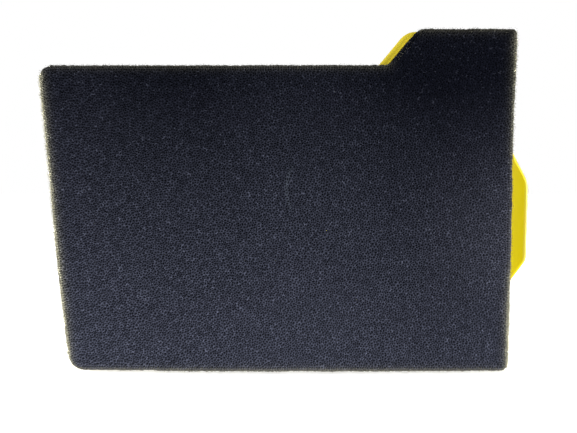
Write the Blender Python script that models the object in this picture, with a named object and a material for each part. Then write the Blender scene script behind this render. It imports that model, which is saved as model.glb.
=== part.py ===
"""Panel air filter for a small engine, standing on its lower long edge.

A cast polyurethane housing holds a pack of pleated paper with a wire screen on the clean side. A foam
pre-cleaner sits on the dirty side, inside a low lip, and pulls straight off. Metres, +Z up: the foam
faces -Y, the clean side +Y, and the raised step of the outline is at +X.
"""

import math

import bmesh
import bpy
from mathutils import Vector

MM = 0.001

# Outline of the foam pad, seen from the dirty side. Its left side leans in towards the bottom.
FOAM_TOP_WIDTH = 186.7 * MM
FOAM_HEIGHT = 122.4 * MM
LEFT_SIDE_LEAN = 9.2 * MM
STEP_RISE = 13.9 * MM
STEP_FLAT = 37.9 * MM
STEP_RUN = 11.6 * MM
RADIUS_TOP_LEFT = 5.0 * MM
RADIUS_BOTTOM_LEFT = 6.5 * MM
RADIUS_BOTTOM_RIGHT = 3.0 * MM
RADIUS_TOP_RIGHT = 1.6 * MM
RADIUS_STEP_TOP = 5.4 * MM
RADIUS_STEP_FOOT = 5.5 * MM

# Foam pad.
FOAM_THICKNESS = 10.0 * MM
FOAM_EDGE_ROUND = 0.8 * MM

# Cast housing: how far it reaches past the foam, how much further its step starts to the left than the
# foam's, which widens the land along the slope, and its depth from front land to back land.
RIM_REACH = 2.7 * MM
SLOPE_SHIFT = 1.0 * MM
FRONT_LAND = 2.4 * MM
BACK_LAND = 5.5 * MM
RIM_FRONT_ROUND = 1.5 * MM
RIM_BACK_ROUND = 1.2 * MM
LIP_WIDTH = 0.7 * MM
LIP_HEIGHT = 0.7 * MM

# Window through the housing, as borders inside the foam's foot and height, and the pocket that holds
# the paper pack behind the window's edge.
SIDE_BORDER = 11.0 * MM
END_BORDER = 9.75 * MM
WINDOW_RADIUS = 4.0 * MM
POCKET_UNDERCUT = 2.5 * MM
SCREEN_UNDERCUT = 1.8 * MM

# Sealing bead around the clean-side opening.
BEAD_HEIGHT = 2.0 * MM
BEAD_WIDTH = 5.0 * MM
BEAD_CREST = 2.2 * MM
BEAD_INSET = 1.6 * MM

# Locating tab on the right side. Its end sits a little lower than its root, and its front face lies a
# little behind the housing's.
TAB_REACH = 10.1 * MM
TAB_ROOT_LENGTH = 64.7 * MM
TAB_END_LENGTH = 32.5 * MM
TAB_END_DROP = 2.2 * MM
TAB_ROOT_ABOVE_FOAM_FOOT = 62.5 * MM
TAB_THICKNESS = 8.0 * MM
TAB_SETBACK = 1.0 * MM
TAB_SUNK = 3.0 * MM
TAB_UPPER_RADIUS = 14.0 * MM
TAB_LOWER_RADIUS = 6.0 * MM
TAB_EDGE_ROUND = 1.6 * MM

# Pleated paper.
PLEAT_HEIGHT = 17.0 * MM
PLEAT_PITCH = 3.8 * MM
PAPER_THICKNESS = 0.6 * MM
STRIP_THICKNESS = 1.0 * MM

# Hot-melt beads that hold the pleats apart.
MELT_BEADS = 3
MELT_WIDTH = 2.0 * MM
MELT_HEIGHT = 1.2 * MM
MELT_SIDES = 8

# Wire screen on the clean side.
SCREEN_WIRE = 0.8 * MM
SCREEN_PITCH = 13.0 * MM

# Clearance between pieces that touch, and how far joined shapes sink into each other.
FIT = 0.3 * MM
OVERLAP = 1.5 * MM

ARC_STEPS = 7
ROUND_STEPS = 4

# Sizes that follow from the ones above.
WINDOW_WIDTH = FOAM_TOP_WIDTH - LEFT_SIDE_LEAN - 2 * SIDE_BORDER
WINDOW_HEIGHT = FOAM_HEIGHT - 2 * END_BORDER
POCKET_DEPTH = PLEAT_HEIGHT + 2 * FIT
RIM_DEPTH = FRONT_LAND + POCKET_DEPTH + BACK_LAND
TOTAL_DEPTH = FOAM_THICKNESS + FIT + RIM_DEPTH + BEAD_HEIGHT
LEFT_LEAN = math.atan(LEFT_SIDE_LEAN / FOAM_HEIGHT)
LEFT_CORNER_LOSS = RADIUS_TOP_LEFT * (math.cos(LEFT_LEAN) / (1 - math.sin(LEFT_LEAN)) - 1)
TOTAL_WIDTH = RIM_REACH + FOAM_TOP_WIDTH - LEFT_CORNER_LOSS + RIM_REACH + TAB_REACH

# Places. X runs from the outline's left to the tab's end, Y from the foam's face to the bead's crest.
FOAM_LEFT_X = -TOTAL_WIDTH / 2 + RIM_REACH - LEFT_CORNER_LOSS
FOAM_RIGHT_X = FOAM_LEFT_X + FOAM_TOP_WIDTH
FOAM_FOOT_Z = RIM_REACH
FOAM_FACE_Y = -TOTAL_DEPTH / 2
RIM_FRONT_Y = FOAM_FACE_Y + FOAM_THICKNESS + FIT
RIM_BACK_Y = RIM_FRONT_Y + RIM_DEPTH
CREST_Y = RIM_BACK_Y + BEAD_HEIGHT
POCKET_FRONT_Y = RIM_FRONT_Y + FRONT_LAND
POCKET_BACK_Y = POCKET_FRONT_Y + POCKET_DEPTH
PAPER_FRONT_Y = POCKET_FRONT_Y + FIT
PAPER_BACK_Y = POCKET_BACK_Y - FIT
SCREEN_FRONT_Y = PAPER_BACK_Y + FIT + MELT_HEIGHT + FIT
SCREEN_BACK_Y = SCREEN_FRONT_Y + SCREEN_WIRE
WINDOW_CENTRE_X = (FOAM_LEFT_X + LEFT_SIDE_LEAN + FOAM_RIGHT_X) / 2
WINDOW_CENTRE_Z = FOAM_FOOT_Z + FOAM_HEIGHT / 2


# ---------------------------------------------------------------- outlines


def offset_corners(corners, distance):
    """Corners of a counter-clockwise polygon moved outwards, each radius grown or shrunk to match."""
    moved = []
    count = len(corners)
    for index, (point, radius) in enumerate(corners):
        before = corners[index - 1][0]
        after = corners[(index + 1) % count][0]
        way_in = (point - before).normalized()
        way_out = (after - point).normalized()
        normal_in = Vector((way_in.y, -way_in.x))
        normal_out = Vector((way_out.y, -way_out.x))
        reach = distance / (1 + normal_in.dot(normal_out))
        turns_left = way_in.x * way_out.y - way_in.y * way_out.x > 0
        new_radius = radius + distance if turns_left else radius - distance
        moved.append((point + (normal_in + normal_out) * reach, max(new_radius, 0.2 * MM)))
    return moved


def rounded(corners):
    """Points (x, z) of a polygon with an arc of ARC_STEPS chords at each corner."""
    points = []
    count = len(corners)
    for index, (point, radius) in enumerate(corners):
        back = (corners[index - 1][0] - point).normalized()
        ahead = (corners[(index + 1) % count][0] - point).normalized()
        half_angle = back.angle(ahead) / 2
        middle = (back + ahead).normalized()
        centre = point + middle * (radius / math.sin(half_angle))
        start = point + back * (radius / math.tan(half_angle)) - centre
        end = point + ahead * (radius / math.tan(half_angle)) - centre
        sweep = start.angle_signed(end)
        for step in range(ARC_STEPS + 1):
            angle = -sweep * step / ARC_STEPS
            turned = Vector(
                (
                    start.x * math.cos(angle) - start.y * math.sin(angle),
                    start.x * math.sin(angle) + start.y * math.cos(angle),
                )
            )
            points.append(centre + turned)
    return points


def stepped_corners(step_shift):
    """Corners of the stepped outline with their radii, counter-clockwise from the bottom left."""
    top = FOAM_FOOT_Z + FOAM_HEIGHT
    step_top = top + STEP_RISE
    step_start = FOAM_RIGHT_X - STEP_FLAT - step_shift
    return [
        (Vector((FOAM_LEFT_X + LEFT_SIDE_LEAN, FOAM_FOOT_Z)), RADIUS_BOTTOM_LEFT),
        (Vector((FOAM_RIGHT_X, FOAM_FOOT_Z)), RADIUS_BOTTOM_RIGHT),
        (Vector((FOAM_RIGHT_X, step_top)), RADIUS_TOP_RIGHT),
        (Vector((step_start, step_top)), RADIUS_STEP_TOP),
        (Vector((step_start - STEP_RUN, top)), RADIUS_STEP_FOOT),
        (Vector((FOAM_LEFT_X, top)), RADIUS_TOP_LEFT),
    ]


def foam_corners():
    return stepped_corners(0.0)


def rectangle_corners(width, height, radius):
    """Corners of a rectangle centred on the window, counter-clockwise."""
    left, right = WINDOW_CENTRE_X - width / 2, WINDOW_CENTRE_X + width / 2
    low, high = WINDOW_CENTRE_Z - height / 2, WINDOW_CENTRE_Z + height / 2
    places = [(left, low), (right, low), (right, high), (left, high)]
    return [(Vector(place), radius) for place in places]


def tab_corners():
    """Corners of the locating tab, whose root is sunk into the housing."""
    rim_x = FOAM_RIGHT_X + RIM_REACH
    root_z = FOAM_FOOT_Z + TAB_ROOT_ABOVE_FOAM_FOOT
    end_z = root_z - TAB_END_DROP
    low_root, low_end = root_z - TAB_ROOT_LENGTH / 2, end_z - TAB_END_LENGTH / 2
    high_root, high_end = root_z + TAB_ROOT_LENGTH / 2, end_z + TAB_END_LENGTH / 2
    sunk = TAB_SUNK / TAB_REACH
    return [
        (Vector((rim_x - TAB_SUNK, low_root - (low_end - low_root) * sunk)), TAB_EDGE_ROUND),
        (Vector((rim_x + TAB_REACH, low_end)), TAB_LOWER_RADIUS),
        (Vector((rim_x + TAB_REACH, high_end)), TAB_UPPER_RADIUS),
        (Vector((rim_x - TAB_SUNK, high_root + (high_root - high_end) * sunk)), TAB_EDGE_ROUND),
    ]


# ---------------------------------------------------------------- mesh helpers


def add_object(name, bm, hidden=False):
    """Object made from a bmesh, with its normals facing out and round stretches shaded smooth."""
    bmesh.ops.recalc_face_normals(bm, faces=bm.faces)
    mesh = bpy.data.meshes.new(name)
    bm.to_mesh(mesh)
    bm.free()
    mesh.shade_smooth()
    mesh.set_sharp_from_angle(angle=math.radians(30))
    obj = bpy.data.objects.new(name, mesh)
    bpy.context.scene.collection.objects.link(obj)
    if hidden:
        obj.hide_render = True
        obj.display_type = "WIRE"
    return obj


def add_loop(bm, points, y):
    return [bm.verts.new((point[0], y, point[1])) for point in points]


def join_loops(bm, first, second):
    count = len(first)
    for index in range(count):
        ahead = (index + 1) % count
        bm.faces.new((first[index], first[ahead], second[ahead], second[index]))


def loft(name, corners, sections, hidden=False):
    """Closed solid through sections (offset of the outline, y), with flat ends."""
    bm = bmesh.new()
    loops = [add_loop(bm, rounded(offset_corners(corners, offset)), y) for offset, y in sections]
    for first, second in zip(loops, loops[1:]):
        join_loops(bm, first, second)
    bm.faces.new(loops[0])
    bm.faces.new(loops[-1])
    return add_object(name, bm, hidden)


def ring(name, corners, profile, hidden=False):
    """Closed ring that carries a closed profile of (offset, y) points along an outline."""
    bm = bmesh.new()
    loops = [add_loop(bm, rounded(offset_corners(corners, offset)), y) for offset, y in profile]
    for index, loop in enumerate(loops):
        join_loops(bm, loops[index - 1], loop)
    return add_object(name, bm, hidden)


def block(name, low, high, hidden=False):
    """Box between two opposite corners."""
    bm = bmesh.new()
    bmesh.ops.create_cube(bm, size=1.0)
    low, high = Vector(low), Vector(high)
    for vert in bm.verts:
        vert.co = (low + high) / 2 + vert.co * (high - low)
    return add_object(name, bm, hidden)


def arc_sections(edge_y, radius, inwards):
    """Quarter-round from a flat face at edge_y to the full outline, as (offset, y) sections."""
    sections = []
    for step in range(ROUND_STEPS + 1):
        angle = math.pi / 2 * step / ROUND_STEPS
        sections.append((radius * math.sin(angle) - radius, edge_y + inwards * radius * (1 - math.cos(angle))))
    return sections


def rounded_slab(outset, front, front_round, back, back_round):
    """Sections of a slab with quarter-round front and back edges."""
    front_part = arc_sections(front, front_round, 1)
    back_part = arc_sections(back, back_round, -1)[::-1]
    return [(outset + offset, y) for offset, y in front_part + back_part]


def apply_boolean(obj, tool, operation):
    modifier = obj.modifiers.new(tool.name, "BOOLEAN")
    modifier.operation = operation
    modifier.object = tool
    modifier.solver = "EXACT"


def set_material(obj, name, colour, roughness, metallic=0.0):
    material = bpy.data.materials.get(name)
    if material is None:
        material = bpy.data.materials.new(name)
        material.use_nodes = True
        shader = material.node_tree.nodes["Principled BSDF"]
        shader.inputs["Base Color"].default_value = (*colour, 1.0)
        shader.inputs["Roughness"].default_value = roughness
        shader.inputs["Metallic"].default_value = metallic
        material.diffuse_color = (*colour, 1.0)
    obj.data.materials.append(material)
    return obj


# ---------------------------------------------------------------- pieces


def make_foam_precleaner():
    sections = rounded_slab(0.0, FOAM_FACE_Y, FOAM_EDGE_ROUND, FOAM_FACE_Y + FOAM_THICKNESS, FOAM_EDGE_ROUND)
    foam = loft("foam_precleaner", foam_corners(), sections)
    return set_material(foam, "charcoal_foam", (0.028, 0.032, 0.046), 0.95)


def make_seal_bead():
    """Bead around the clean-side opening, sunk into the back land."""
    centre = BEAD_INSET + BEAD_WIDTH / 2
    profile = [
        (centre - BEAD_WIDTH / 2, RIM_BACK_Y - OVERLAP),
        (centre + BEAD_WIDTH / 2, RIM_BACK_Y - OVERLAP),
        (centre + BEAD_WIDTH / 2, RIM_BACK_Y + BEAD_HEIGHT * 0.25),
        (centre + (BEAD_WIDTH + BEAD_CREST) / 4, RIM_BACK_Y + BEAD_HEIGHT * 0.8),
        (centre + BEAD_CREST / 2, CREST_Y),
        (centre - BEAD_CREST / 2, CREST_Y),
        (centre - (BEAD_WIDTH + BEAD_CREST) / 4, RIM_BACK_Y + BEAD_HEIGHT * 0.8),
        (centre - BEAD_WIDTH / 2, RIM_BACK_Y + BEAD_HEIGHT * 0.25),
    ]
    corners = rectangle_corners(WINDOW_WIDTH, WINDOW_HEIGHT, WINDOW_RADIUS)
    return ring("seal_bead_shape", corners, profile, hidden=True)


def make_locating_lip():
    """Low lip around the foam's edge, sunk into the front land."""
    inner, outer = FIT, FIT + LIP_WIDTH
    shoulder = LIP_HEIGHT * 0.7
    profile = [
        (inner, RIM_FRONT_Y + OVERLAP),
        (inner, RIM_FRONT_Y - shoulder),
        (inner + LIP_WIDTH * 0.3, RIM_FRONT_Y - LIP_HEIGHT),
        (outer - LIP_WIDTH * 0.3, RIM_FRONT_Y - LIP_HEIGHT),
        (outer, RIM_FRONT_Y - shoulder),
        (outer, RIM_FRONT_Y + OVERLAP),
    ]
    return ring("locating_lip_shape", foam_corners(), profile, hidden=True)


def make_locating_tab():
    front = RIM_FRONT_Y + TAB_SETBACK
    sections = rounded_slab(0.0, front, TAB_EDGE_ROUND, front + TAB_THICKNESS, TAB_EDGE_ROUND)
    return loft("locating_tab_shape", tab_corners(), sections, hidden=True)


def make_opening_cutters():
    """Cutters for the window, the pocket for the paper pack and the slot for the screen."""
    screen_slot = (SCREEN_FRONT_Y - FIT, SCREEN_BACK_Y + FIT)
    cuts = {
        "window_cutter": (0.0, WINDOW_RADIUS, (RIM_FRONT_Y - 2 * LIP_HEIGHT, CREST_Y + OVERLAP)),
        "pocket_cutter": (POCKET_UNDERCUT, FIT, (POCKET_FRONT_Y, POCKET_BACK_Y)),
        "screen_slot_cutter": (SCREEN_UNDERCUT, FIT, screen_slot),
    }
    cutters = []
    for name, (undercut, radius, ends) in cuts.items():
        corners = rectangle_corners(WINDOW_WIDTH + 2 * undercut, WINDOW_HEIGHT + 2 * undercut, radius)
        cutters.append(loft(name, corners, [(0.0, y) for y in ends], hidden=True))
    return cutters


def make_moulded_housing():
    """Cast polyurethane rim: slab, locating tab, lip and seal bead in one piece, opened by the window."""
    sections = rounded_slab(RIM_REACH, RIM_FRONT_Y, RIM_FRONT_ROUND, RIM_BACK_Y, RIM_BACK_ROUND)
    housing = loft("moulded_housing", stepped_corners(SLOPE_SHIFT), sections)
    for shape in (make_locating_tab(), make_locating_lip(), make_seal_bead()):
        apply_boolean(housing, shape, "UNION")
    for cutter in make_opening_cutters():
        apply_boolean(housing, cutter, "DIFFERENCE")
    return set_material(housing, "yellow_polyurethane", (0.70, 0.52, 0.02), 0.38)


def pack_sides():
    """Left and right limits of the pocket that the paper pack and its card strips fill."""
    half = WINDOW_WIDTH / 2 + POCKET_UNDERCUT - FIT
    return WINDOW_CENTRE_X - half, WINDOW_CENTRE_X + half


def pack_heights():
    half = WINDOW_HEIGHT / 2 + POCKET_UNDERCUT - FIT
    return WINDOW_CENTRE_Z - half, WINDOW_CENTRE_Z + half


def pleat_line():
    """Middle line (x, y) of the folded sheet: flattened tips joined by nearly parallel walls."""
    left, right = pack_sides()
    inset = STRIP_THICKNESS + FIT + PAPER_THICKNESS / 2
    first, last = left + inset, right - inset
    folds = 2 * round((last - first) / PLEAT_PITCH)
    half_pitch = (last - first) / folds
    front = PAPER_FRONT_Y + PAPER_THICKNESS / 2
    back = PAPER_BACK_Y - PAPER_THICKNESS / 2
    shoulder_x, shoulder_y = half_pitch * 0.32, half_pitch * 0.22
    tip_x = shoulder_x * 0.5
    line = [(first, front + shoulder_y)]
    for fold in range(1, folds):
        x = first + fold * half_pitch
        at_back = fold % 2 == 1
        tip = back if at_back else front
        shoulder = tip - shoulder_y if at_back else tip + shoulder_y
        line += [(x - shoulder_x, shoulder), (x - tip_x, tip), (x + tip_x, tip), (x + shoulder_x, shoulder)]
    line.append((last, front + shoulder_y))
    return line


def thick_outline(line, thickness):
    """Closed outline of a line given a thickness, with mitred bends."""
    sides = ([], [])
    points = [Vector(point) for point in line]
    for index, point in enumerate(points):
        way_in = (point - points[max(index - 1, 0)]) if index else (points[1] - point)
        way_out = (points[index + 1] - point) if index + 1 < len(points) else way_in
        way_in, way_out = way_in.normalized(), way_out.normalized()
        normal_in, normal_out = Vector((-way_in.y, way_in.x)), Vector((-way_out.y, way_out.x))
        reach = thickness / 2 / (1 + normal_in.dot(normal_out))
        sides[0].append(point + (normal_in + normal_out) * reach)
        sides[1].append(point - (normal_in + normal_out) * reach)
    return sides


def make_pleated_paper():
    """One sheet folded into pleats that run up and down."""
    bm = bmesh.new()
    low, high = pack_heights()
    side_a, side_b = thick_outline(pleat_line(), PAPER_THICKNESS)
    rows = []
    for side in (side_a, side_b):
        for z in (low, high):
            rows.append([bm.verts.new((point.x, point.y, z)) for point in side])
    a_low, a_high, b_low, b_high = rows
    last = len(a_low) - 1
    for index in range(last):
        ahead = index + 1
        bm.faces.new((a_low[index], a_low[ahead], a_high[ahead], a_high[index]))
        bm.faces.new((b_low[ahead], b_low[index], b_high[index], b_high[ahead]))
        bm.faces.new((a_high[index], a_high[ahead], b_high[ahead], b_high[index]))
        bm.faces.new((a_low[ahead], a_low[index], b_low[index], b_low[ahead]))
    for index in (0, last):
        bm.faces.new((a_low[index], a_high[index], b_high[index], b_low[index]))
    return set_material(add_object("pleated_paper", bm), "filter_paper", (0.78, 0.70, 0.52), 0.9)


def make_pleat_strips():
    """Card strips that close the first and the last pleat."""
    left, right = pack_sides()
    low, high = pack_heights()
    for side, x in (("left", left), ("right", right - STRIP_THICKNESS)):
        strip = block(
            f"pleat_strip_{side}", (x, PAPER_FRONT_Y, low), (x + STRIP_THICKNESS, PAPER_BACK_Y, high)
        )
        set_material(strip, "strip_card", (0.62, 0.50, 0.33), 0.85)


def make_separator_beads():
    """Half-round strings of hot melt laid across the pleat tips, on both sides."""
    half = WINDOW_WIDTH / 2 - FIT
    tops = {"front": (PAPER_FRONT_Y - FIT, -1), "back": (PAPER_BACK_Y + FIT, 1)}
    for side, (foot_y, way) in tops.items():
        for number in range(MELT_BEADS):
            z = WINDOW_CENTRE_Z + WINDOW_HEIGHT * ((number + 0.5) / MELT_BEADS - 0.5)
            bm = bmesh.new()
            ends = []
            for x in (WINDOW_CENTRE_X - half, WINDOW_CENTRE_X + half):
                loop = []
                for step in range(MELT_SIDES + 1):
                    angle = math.pi * step / MELT_SIDES
                    y = foot_y + way * MELT_HEIGHT * math.sin(angle)
                    loop.append(bm.verts.new((x, y, z + MELT_WIDTH / 2 * math.cos(angle))))
                ends.append(loop)
            join_loops(bm, ends[0], ends[1])
            bm.faces.new(ends[0])
            bm.faces.new(ends[1])
            bead = add_object(f"separator_bead_{side}_{number + 1}", bm)
            set_material(bead, "hot_melt", (0.86, 0.80, 0.62), 0.45)


def make_backfire_screen():
    """Wire screen whose edge sits in the housing's slot: a plate pierced by square openings."""
    half_x = WINDOW_WIDTH / 2 + SCREEN_UNDERCUT - FIT
    half_z = WINDOW_HEIGHT / 2 + SCREEN_UNDERCUT - FIT
    columns = round(2 * half_x / SCREEN_PITCH)
    rows = round(2 * half_z / SCREEN_PITCH)
    bm = bmesh.new()
    step_x, step_z = 2 * half_x / columns, 2 * half_z / rows
    xs = bar_edges(WINDOW_CENTRE_X - half_x, step_x, columns)
    zs = bar_edges(WINDOW_CENTRE_Z - half_z, step_z, rows)
    verts = {}
    for y in (SCREEN_FRONT_Y, SCREEN_BACK_Y):
        for i, x in enumerate(xs):
            for j, z in enumerate(zs):
                verts[y, i, j] = bm.verts.new((x, y, z))

    def solid(i, j):
        inside = 0 <= i < len(xs) - 1 and 0 <= j < len(zs) - 1
        return inside and (i % 2 == 0 or j % 2 == 0)

    for i in range(len(xs) - 1):
        for j in range(len(zs) - 1):
            if not solid(i, j):
                continue
            corners = [(i, j), (i + 1, j), (i + 1, j + 1), (i, j + 1)]
            for y in (SCREEN_FRONT_Y, SCREEN_BACK_Y):
                bm.faces.new([verts[y, *corner] for corner in corners])
            beyond = [(i, j - 1), (i + 1, j), (i, j + 1), (i - 1, j)]
            for side, neighbour in enumerate(beyond):
                if solid(*neighbour):
                    continue
                near, far = corners[side], corners[(side + 1) % 4]
                edge = [(SCREEN_FRONT_Y, near), (SCREEN_FRONT_Y, far), (SCREEN_BACK_Y, far), (SCREEN_BACK_Y, near)]
                bm.faces.new([verts[y, *corner] for y, corner in edge])
    return set_material(add_object("backfire_screen", bm), "zinc_wire", (0.55, 0.56, 0.57), 0.35, 1.0)


def bar_edges(start, step, count):
    """Both edges of each wire along one direction, wire and opening in turn."""
    edges = []
    for index in range(count + 1):
        middle = start + index * step
        low = max(middle - SCREEN_WIRE / 2, start)
        high = min(middle + SCREEN_WIRE / 2, start + count * step)
        edges += [low, high]
    return edges


def main():
    for obj in list(bpy.data.objects):
        bpy.data.objects.remove(obj, do_unlink=True)
    foam = make_foam_precleaner()
    pull = bpy.data.objects.new("precleaner_pull", None)
    bpy.context.scene.collection.objects.link(pull)
    foam.parent = pull
    make_moulded_housing()
    make_pleated_paper()
    make_pleat_strips()
    make_separator_beads()
    make_backfire_screen()


main()
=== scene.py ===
"""Finished look of a step-cornered panel air filter, built around its engineering frame.

The charcoal foam pre-cleaner is modelled as open cells with cut strut ends along its edges. Behind it
are the cast polyurethane housing, the wavy paper pleats, the hot-melt strings and the woven wire screen.
"""

import math

import bmesh
import bpy
import numpy as np
from mathutils import Matrix, Vector, noise
from mathutils.geometry import delaunay_2d_cdt


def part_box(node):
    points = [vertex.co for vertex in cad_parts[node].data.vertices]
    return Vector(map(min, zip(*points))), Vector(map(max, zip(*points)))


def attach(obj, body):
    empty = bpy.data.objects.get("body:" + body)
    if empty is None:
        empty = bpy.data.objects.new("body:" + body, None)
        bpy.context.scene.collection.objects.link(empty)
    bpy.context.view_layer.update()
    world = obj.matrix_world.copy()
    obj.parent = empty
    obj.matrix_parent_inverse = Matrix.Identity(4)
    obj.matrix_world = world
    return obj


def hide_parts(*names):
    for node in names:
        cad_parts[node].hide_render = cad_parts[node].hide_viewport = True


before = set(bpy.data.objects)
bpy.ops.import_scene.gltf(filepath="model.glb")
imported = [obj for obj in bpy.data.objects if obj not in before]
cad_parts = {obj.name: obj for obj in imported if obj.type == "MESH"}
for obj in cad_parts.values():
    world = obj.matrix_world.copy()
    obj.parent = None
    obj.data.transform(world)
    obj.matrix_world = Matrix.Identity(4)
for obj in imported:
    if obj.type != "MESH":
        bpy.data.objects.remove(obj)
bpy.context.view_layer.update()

bl_info = {
    "name": "Panel Air Filter",
    "version": (1, 0, 0),
    "blender": (4, 5, 0),
    "location": "3D View > Sidebar > Panel Filter",
    "description": "Builds a small engine's panel air filter piece by piece",
    "category": "Add Mesh",
}

MM = 0.001
FOAM_NODE = "foam_precleaner"
HOUSING_NODE = "moulded_housing"
PAPER_NODE = "pleated_paper"
SCREEN_NODE = "backfire_screen"
CARTRIDGE = "cartridge"
PRECLEANER = "precleaner"


# ---------------------------------------------------------------- settings


def length(name, description, millimetres):
    return bpy.props.FloatProperty(
        name=name, description=description, default=millimetres * MM, unit="LENGTH", precision=5
    )


def colour(name, description, value):
    return bpy.props.FloatVectorProperty(
        name=name, description=description, default=value, subtype="COLOR", size=3, min=0.0, max=1.0
    )


class FoamSettings(bpy.types.PropertyGroup):
    """Outline and cells of the foam pre-cleaner."""

    side_lean: length("Side lean", "How far the left side leans in at the bottom", 9.2)
    step_rise: length("Step rise", "Height of the raised corner above the long top edge", 13.9)
    step_flat: length("Step flat", "Length of the raised corner's flat top", 37.9)
    step_run: length("Step run", "Width of the slope up to the raised corner", 11.6)
    left_corner: length("Left corner", "Radius of the top left corner", 5.0)
    cell_pitch: length("Cell pitch", "Distance between cells on the face and sides", 1.0)
    back_pitch: length("Back cell pitch", "Distance between cells on the hidden back", 2.7)
    cell_depth: length("Cell depth", "How deep the open cells go", 0.95)
    back_share: bpy.props.FloatProperty(
        name="Back depth", description="Depth of the pressed back's cells as a share", default=0.3, max=1.0
    )
    edge_round: length("Edge round", "Radius that the cut front edge relaxes to", 2.2)
    swell: length("Swell", "How far the open cells stand out past the plain outline", 0.4)
    spread: bpy.props.FloatProperty(
        name="Spread", description="Share by which the soft pad spreads sideways", default=0.004, precision=4
    )
    bow: length("Bow", "How far the soft bottom edge rises towards its ends", 0.75)
    bulge: length("Bulge", "How far the soft sides stray from straight", 0.5)
    strand_length: length("Strand length", "Length of the cut strut ends along the edges", 0.55)
    # Lit and shaded copies of the strut colour: the face is painted from the lit colour low down to the
    # shaded colour at the top right, as painted shade.
    lit_strut_colour: colour("Strut colour", "Colour of the struts low on the face", (0.107, 0.116, 0.166))
    shaded_strut_colour: colour("Shade colour", "Colour of the struts high on the face", (0.0035, 0.0042, 0.0096))
    # Painted rim light: the pale colour painted on the cut edges and strut tips where light grazes them.
    rim_light_colour: colour("Edge colour", "Colour of the thin struts at the cut edges", (0.72, 0.69, 0.50))
    # Painted shade: the colour painted deep in the cells, where shade falls.
    pit_shade_colour: colour("Pit colour", "Colour deep in the cells", (0.0020, 0.0025, 0.0048))
    seed: bpy.props.IntProperty(name="Seed", description="Seed of the irregular cells", default=7)


class HousingSettings(bpy.types.PropertyGroup):
    """Cast polyurethane rim."""

    edge_soften: length("Edge softening", "Radius left on every moulded edge", 0.35)
    resin_colour: colour("Resin colour", "Colour of the cast polyurethane", (0.48, 0.385, 0.0003))


class PaperSettings(bpy.types.PropertyGroup):
    """Pleated filter paper and its card strips."""

    pleat_pitch: length("Pleat pitch", "Distance from one pleat tip to the next", 3.8)
    sheet: length("Sheet thickness", "Thickness of the folded sheet", 0.5)
    wander: length("Wander", "How far a pleat tip strays from straight", 0.32)
    paper_colour: colour("Paper colour", "Colour of the treated paper", (0.72, 0.62, 0.40))
    card_colour: colour("Card colour", "Colour of the end strips", (0.52, 0.40, 0.24))


class MeltSettings(bpy.types.PropertyGroup):
    """Hot-melt strings across the pleat tips."""

    width: length("String width", "Width of a set string", 2.0)
    melt_colour: colour("Melt colour", "Colour of the set adhesive", (0.80, 0.73, 0.52))


class ScreenSettings(bpy.types.PropertyGroup):
    """Woven wire screen on the clean side."""

    wire_pitch: length("Wire pitch", "Distance between neighbouring wires", 3.4)
    wire_diameter: length("Wire diameter", "Thickness of one wire", 0.42)


class StageSettings(bpy.types.PropertyGroup):
    """Floor, lights and camera."""

    lens: bpy.props.FloatProperty(
        name="Lens", description="Focal length on full frame", default=27.0, subtype="DISTANCE_CAMERA"
    )
    tilt: bpy.props.FloatProperty(
        name="Tilt", description="How far the camera looks down", default=math.radians(3.2), subtype="ANGLE"
    )
    distance: length("Distance", "From the camera to the foam's face, along its view", 171.5)
    aim_height: length("Aim height", "Height on the foam's face that the camera looks at", 65.9)
    aim_side: length("Aim side", "Sideways place on the foam's face that the camera looks at", -0.75)


# ---------------------------------------------------------------- outline helpers


def offset_corners(corners, distance):
    """Counter-clockwise corners (point, radius) moved outwards by a distance."""
    moved = []
    for index, (point, radius) in enumerate(corners):
        way_in = (point - corners[index - 1][0]).normalized()
        way_out = (corners[(index + 1) % len(corners)][0] - point).normalized()
        normal_in = Vector((way_in.y, -way_in.x))
        normal_out = Vector((way_out.y, -way_out.x))
        reach = distance / (1 + normal_in.dot(normal_out))
        turns_left = way_in.cross(way_out) > 0
        new_radius = max(radius + (distance if turns_left else -distance), 0.3 * MM)
        moved.append((point + (normal_in + normal_out) * reach, new_radius))
    return moved


def rounded(corners, arc_steps=8):
    """Points of the outline with an arc at each corner."""
    points = []
    for index, (point, radius) in enumerate(corners):
        back = (corners[index - 1][0] - point).normalized()
        ahead = (corners[(index + 1) % len(corners)][0] - point).normalized()
        half_angle = back.angle(ahead) / 2
        centre = point + (back + ahead).normalized() * (radius / math.sin(half_angle))
        start = point + back * (radius / math.tan(half_angle)) - centre
        end = point + ahead * (radius / math.tan(half_angle)) - centre
        sweep = -start.angle_signed(end)
        for step in range(arc_steps + 1):
            points.append(centre + Matrix.Rotation(sweep * step / arc_steps, 2) @ start)
    return points


def evenly_spaced(points, count, shift=0.0):
    """count points at equal distances round a closed outline, moved on by a share of one step."""
    loop = np.array([tuple(point) for point in points])
    loop = np.vstack([loop, loop[:1]])
    run = np.concatenate([[0.0], np.cumsum(np.linalg.norm(np.diff(loop, axis=0), axis=1))])
    places = (np.arange(count) + shift) / count * run[-1]
    return np.stack([np.interp(places, run, loop[:, 0]), np.interp(places, run, loop[:, 1])], axis=1)


def perimeter(points):
    """Length of a closed outline."""
    loop = np.array([tuple(point) for point in points])
    return float(np.linalg.norm(np.roll(loop, -1, axis=0) - loop, axis=1).sum())


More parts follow.
